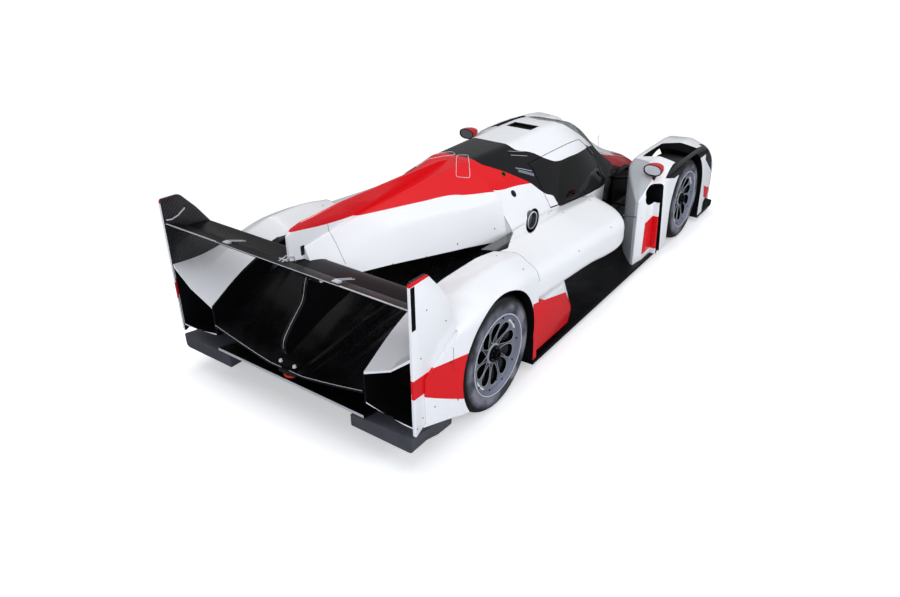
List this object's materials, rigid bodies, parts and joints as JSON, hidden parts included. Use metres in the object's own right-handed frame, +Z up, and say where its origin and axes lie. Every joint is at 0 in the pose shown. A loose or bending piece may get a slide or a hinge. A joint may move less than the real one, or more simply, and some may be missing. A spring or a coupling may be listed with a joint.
{
  "type": "sports prototype race car",
  "caption": "Closed two-door endurance race car with steered front wheels, swinging doors, tall centre fin and a wide rear wing between endplates.",
  "frame": {"origin": "on the ground, in the middle of the car's length and width", "axes": "+Z up, the nose points to -Y, the car's left side is +X"},
  "size_m": [1.892, 4.65, 1.135],
  "materials": {
    "white_paint": "gloss",
    "red_paint": "gloss",
    "carbon": "satin carbon fibre",
    "tyre": "matte",
    "rim": "satin anodised",
    "steel": "satin",
    "glass": "tinted",
    "lens": "clear",
    "fabric": "woven"
  },
  "bodies": {
    "chassis": {"floor": "carbon", "diffuser": "carbon", "front_splitter": "carbon", "tub": "white_paint", "windscreen": "glass", "nose": "red_paint", "engine_cover": "white_paint", "rear_deck": "carbon", "front_fender_left": "white_paint", "front_fender_right": "white_paint", "rear_fender_left": "white_paint", "rear_fender_right": "white_paint", "sidepod_left": "white_paint", "sidepod_right": "white_paint", "wing_main": "carbon", "wing_flap": "carbon", "endplate_left": "white_paint", "endplate_right": "white_paint", "crash_box": "carbon", "tow_ring": "red_paint", "exhaust_left": "steel", "exhaust_right": "steel", "mirror_left": "red_paint", "mirror_right": "red_paint", "headlight_left": "lens", "headlight_right": "lens", "engine": "steel", "seat": "fabric", "dashboard": "carbon", "front_suspension_left": "steel", "front_suspension_right": "steel", "rear_suspension": "steel"},
    "steering_knuckle_left": {"knuckle_front_left": "steel"},
    "steering_knuckle_right": {"knuckle_front_right": "steel"},
    "wheel_front_left": {"tyre_front_left": "tyre", "rim_front_left": "rim"},
    "wheel_front_right": {"tyre_front_right": "tyre", "rim_front_right": "rim"},
    "wheel_rear_left": {"tyre_rear_left": "tyre", "rim_rear_left": "rim"},
    "wheel_rear_right": {"tyre_rear_right": "tyre", "rim_rear_right": "rim"},
    "door_left": {"door_left": "white_paint", "door_window_left": "glass"},
    "door_right": {"door_right": "white_paint", "door_window_right": "glass"}
  },
  "joints": [
    {"name": "steer_left", "type": "hinge", "parent": "chassis", "child": "steering_knuckle_left", "pos_m": [0.76, -1.385, 0.355], "axis": [0, 0, 1], "range_deg": [-18, 18]},
    {"name": "steer_right", "type": "hinge", "parent": "chassis", "child": "steering_knuckle_right", "pos_m": [-0.76, -1.385, 0.355], "axis": [0, 0, 1], "range_deg": [-18, 18]},
    {"name": "spin_front_left", "type": "hinge", "parent": "steering_knuckle_left", "child": "wheel_front_left", "pos_m": [0.78, -1.385, 0.355], "axis": [1, 0, 0], "continuous": true},
    {"name": "spin_front_right", "type": "hinge", "parent": "steering_knuckle_right", "child": "wheel_front_right", "pos_m": [-0.78, -1.385, 0.355], "axis": [1, 0, 0], "continuous": true},
    {"name": "spin_rear_left", "type": "hinge", "parent": "chassis", "child": "wheel_rear_left", "pos_m": [0.78, 1.583, 0.355], "axis": [1, 0, 0], "continuous": true},
    {"name": "spin_rear_right", "type": "hinge", "parent": "chassis", "child": "wheel_rear_right", "pos_m": [-0.78, 1.583, 0.355], "axis": [1, 0, 0], "continuous": true},
    {"name": "door_swing_left", "type": "hinge", "parent": "chassis", "child": "door_left", "pos_m": [0.36233, -0.73305, 0.80259], "axis": [0.2928, -0.6193, -0.7285], "range_deg": [0, 60]},
    {"name": "door_swing_right", "type": "hinge", "parent": "chassis", "child": "door_right", "pos_m": [-0.36233, -0.73305, 0.80259], "axis": [0.2928, 0.6193, 0.7285], "range_deg": [0, 60]}
  ],
  "couplings": [
    {"joint": "steer_right", "follows": "steer_left", "ratio": 1}
  ]
}
